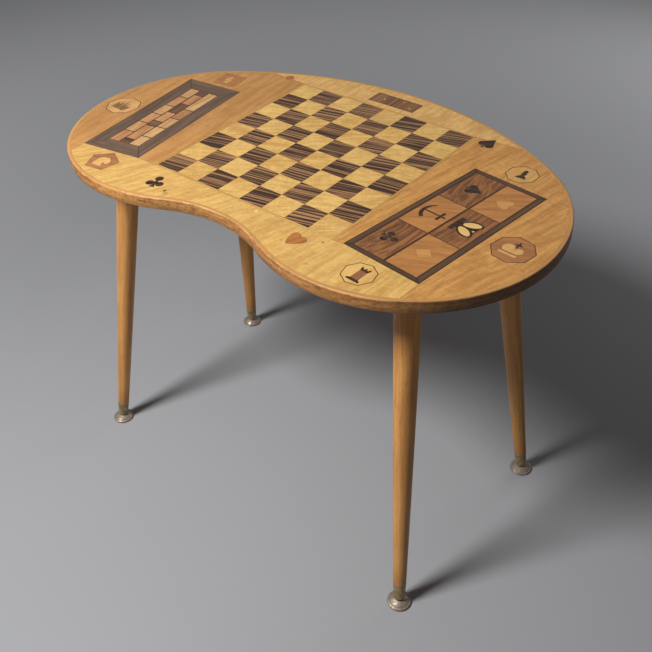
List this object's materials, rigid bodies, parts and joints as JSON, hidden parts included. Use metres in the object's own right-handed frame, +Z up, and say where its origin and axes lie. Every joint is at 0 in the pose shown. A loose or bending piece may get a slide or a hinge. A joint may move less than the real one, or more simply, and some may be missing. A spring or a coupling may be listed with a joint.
{
  "type": "games table",
  "caption": "Low kidney-shaped games table: inlaid chessboard, brick, crown-and-anchor and chess-piece top on splayed turned legs that unscrew, with tilting, turning feet.",
  "frame": {"origin": "on the floor, at the middle of the box round the table", "axes": "+X along the length of the kidney, to the right as seen from the bay; +Y away from the bay; +Z up"},
  "size_m": [0.751, 0.4544, 0.516],
  "materials": {
    "core_board": "plain",
    "edge_wood": "satin lacquer, worn",
    "backing_wood": "plain",
    "light_wood": "satin lacquer",
    "orange_wood": "satin lacquer",
    "striped_dark_wood": "satin lacquer",
    "frame_wood": "satin lacquer",
    "string_wood": "satin lacquer",
    "cream_wood": "satin lacquer",
    "pink_wood": "satin lacquer",
    "red_wood": "satin lacquer",
    "tan_wood": "satin lacquer",
    "black_wood": "satin lacquer",
    "leg_wood": "satin lacquer",
    "brass": "aged",
    "steel": "zinc plated",
    "nylon": "plain"
  },
  "bodies": {
    "top": {"top_core": "core_board", "backing_sheet": "backing_wood", "edge_band": "edge_wood", "board_light_squares": "light_wood", "board_dark_squares": "striped_dark_wood", "board_strings": "light_wood", "brick_frame": "frame_wood", "brick_lines": "string_wood", "cream_bricks": "cream_wood", "pink_bricks": "pink_wood", "dark_bricks": "frame_wood", "anchor_frame": "frame_wood", "anchor_strings": "string_wood", "red_cells": "red_wood", "tan_cells": "tan_wood", "panel_dark_figures": "black_wood", "panel_light_figures": "cream_wood", "pale_medallions": "light_wood", "brown_medallions": "red_wood", "dark_strings": "string_wood", "dark_chess_figures": "black_wood", "pale_figures": "cream_wood", "dark_suits": "black_wood", "red_figures": "red_wood", "domino_halves": "frame_wood", "front_field": "light_wood", "back_field": "light_wood", "left_field": "orange_wood", "left_end_field": "orange_wood", "right_field": "orange_wood", "right_end_field": "orange_wood", "plate_screws": "steel", "leg_plate_front_left": "steel", "leg_plate_front_right": "steel", "leg_plate_back_left": "steel", "leg_plate_back_right": "steel"},
    "bolt_front_left": {"hanger_bolt_front_left": "steel"},
    "leg_front_left": {"leg_front_left": "leg_wood", "ferrule_front_left": "brass", "glide_stud_front_left": "steel"},
    "socket_front_left": {"glide_socket_front_left": "nylon"},
    "foot_front_left": {"glide_disc_front_left": "brass"},
    "bolt_front_right": {"hanger_bolt_front_right": "steel"},
    "leg_front_right": {"leg_front_right": "leg_wood", "ferrule_front_right": "brass", "glide_stud_front_right": "steel"},
    "socket_front_right": {"glide_socket_front_right": "nylon"},
    "foot_front_right": {"glide_disc_front_right": "brass"},
    "bolt_back_left": {"hanger_bolt_back_left": "steel"},
    "leg_back_left": {"leg_back_left": "leg_wood", "ferrule_back_left": "brass", "glide_stud_back_left": "steel"},
    "socket_back_left": {"glide_socket_back_left": "nylon"},
    "foot_back_left": {"glide_disc_back_left": "brass"},
    "bolt_back_right": {"hanger_bolt_back_right": "steel"},
    "leg_back_right": {"leg_back_right": "leg_wood", "ferrule_back_right": "brass", "glide_stud_back_right": "steel"},
    "socket_back_right": {"glide_socket_back_right": "nylon"},
    "foot_back_right": {"glide_disc_back_right": "brass"}
  },
  "joints": [
    {"name": "leg_travel_front_left", "type": "slide", "parent": "top", "child": "bolt_front_left", "axis": [-0.1112, -0.1748, -0.9783], "range_m": [0, 0.01875]},
    {"name": "leg_unscrew_front_left", "type": "hinge", "parent": "bolt_front_left", "child": "leg_front_left", "pos_m": [-0.24071, -0.12337, 0.49274], "axis": [-0.1112, -0.1748, -0.9783], "range_deg": [0, 5400]},
    {"name": "foot_tilt_front_left", "type": "hinge", "parent": "leg_front_left", "child": "socket_front_left", "pos_m": [-0.296, -0.21025, 0.0065], "axis": [-0.8437, 0.5369, 0], "range_deg": [-6.04, 29.96]},
    {"name": "foot_spin_front_left", "type": "hinge", "parent": "socket_front_left", "child": "foot_front_left", "pos_m": [-0.296, -0.21025, 0.0065], "axis": [0, 0, 1], "continuous": true},
    {"name": "leg_travel_front_right", "type": "slide", "parent": "top", "child": "bolt_front_right", "axis": [0.1112, -0.1748, -0.9783], "range_m": [0, 0.01875]},
    {"name": "leg_unscrew_front_right", "type": "hinge", "parent": "bolt_front_right", "child": "leg_front_right", "pos_m": [0.24771, -0.12337, 0.49274], "axis": [0.1112, -0.1748, -0.9783], "range_deg": [0, 5400]},
    {"name": "foot_tilt_front_right", "type": "hinge", "parent": "leg_front_right", "child": "socket_front_right", "pos_m": [0.303, -0.21025, 0.0065], "axis": [-0.8437, -0.5369, 0], "range_deg": [-6.04, 29.96]},
    {"name": "foot_spin_front_right", "type": "hinge", "parent": "socket_front_right", "child": "foot_front_right", "pos_m": [0.303, -0.21025, 0.0065], "axis": [0, 0, 1], "continuous": true},
    {"name": "leg_travel_back_left", "type": "slide", "parent": "top", "child": "bolt_back_left", "axis": [-0.1197, 0.0614, -0.9909], "range_m": [0, 0.01875]},
    {"name": "leg_unscrew_back_left", "type": "hinge", "parent": "bolt_back_left", "child": "leg_back_left", "pos_m": [-0.23677, 0.09014, 0.49266], "axis": [-0.1197, 0.0614, -0.9909], "range_deg": [0, 5400]},
    {"name": "foot_tilt_back_left", "type": "hinge", "parent": "leg_back_left", "child": "socket_back_left", "pos_m": [-0.2955, 0.12025, 0.0065], "axis": [0.4562, 0.8899, 0], "range_deg": [-10.27, 25.73]},
    {"name": "foot_spin_back_left", "type": "hinge", "parent": "socket_back_left", "child": "foot_back_left", "pos_m": [-0.2955, 0.12025, 0.0065], "axis": [0, 0, 1], "continuous": true},
    {"name": "leg_travel_back_right", "type": "slide", "parent": "top", "child": "bolt_back_right", "axis": [0.1446, 0.0361, -0.9888], "range_m": [0, 0.01875]},
    {"name": "leg_unscrew_back_right", "type": "hinge", "parent": "bolt_back_right", "child": "leg_back_right", "pos_m": [0.24393, 0.08998, 0.49267], "axis": [0.1446, 0.0361, -0.9888], "range_deg": [0, 5400]},
    {"name": "foot_tilt_back_right", "type": "hinge", "parent": "leg_back_right", "child": "socket_back_right", "pos_m": [0.315, 0.10775, 0.0065], "axis": [0.2425, -0.9701, 0], "range_deg": [-9.43, 26.57]},
    {"name": "foot_spin_back_right", "type": "hinge", "parent": "socket_back_right", "child": "foot_back_right", "pos_m": [0.315, 0.10775, 0.0065], "axis": [0, 0, 1], "continuous": true}
  ],
  "couplings": [
    {"joint": "leg_travel_front_left", "follows": "leg_unscrew_front_left", "m_per_rad": 0.00019894},
    {"joint": "leg_travel_front_right", "follows": "leg_unscrew_front_right", "m_per_rad": 0.00019894},
    {"joint": "leg_travel_back_left", "follows": "leg_unscrew_back_left", "m_per_rad": 0.00019894},
    {"joint": "leg_travel_back_right", "follows": "leg_unscrew_back_right", "m_per_rad": 0.00019894}
  ]
}
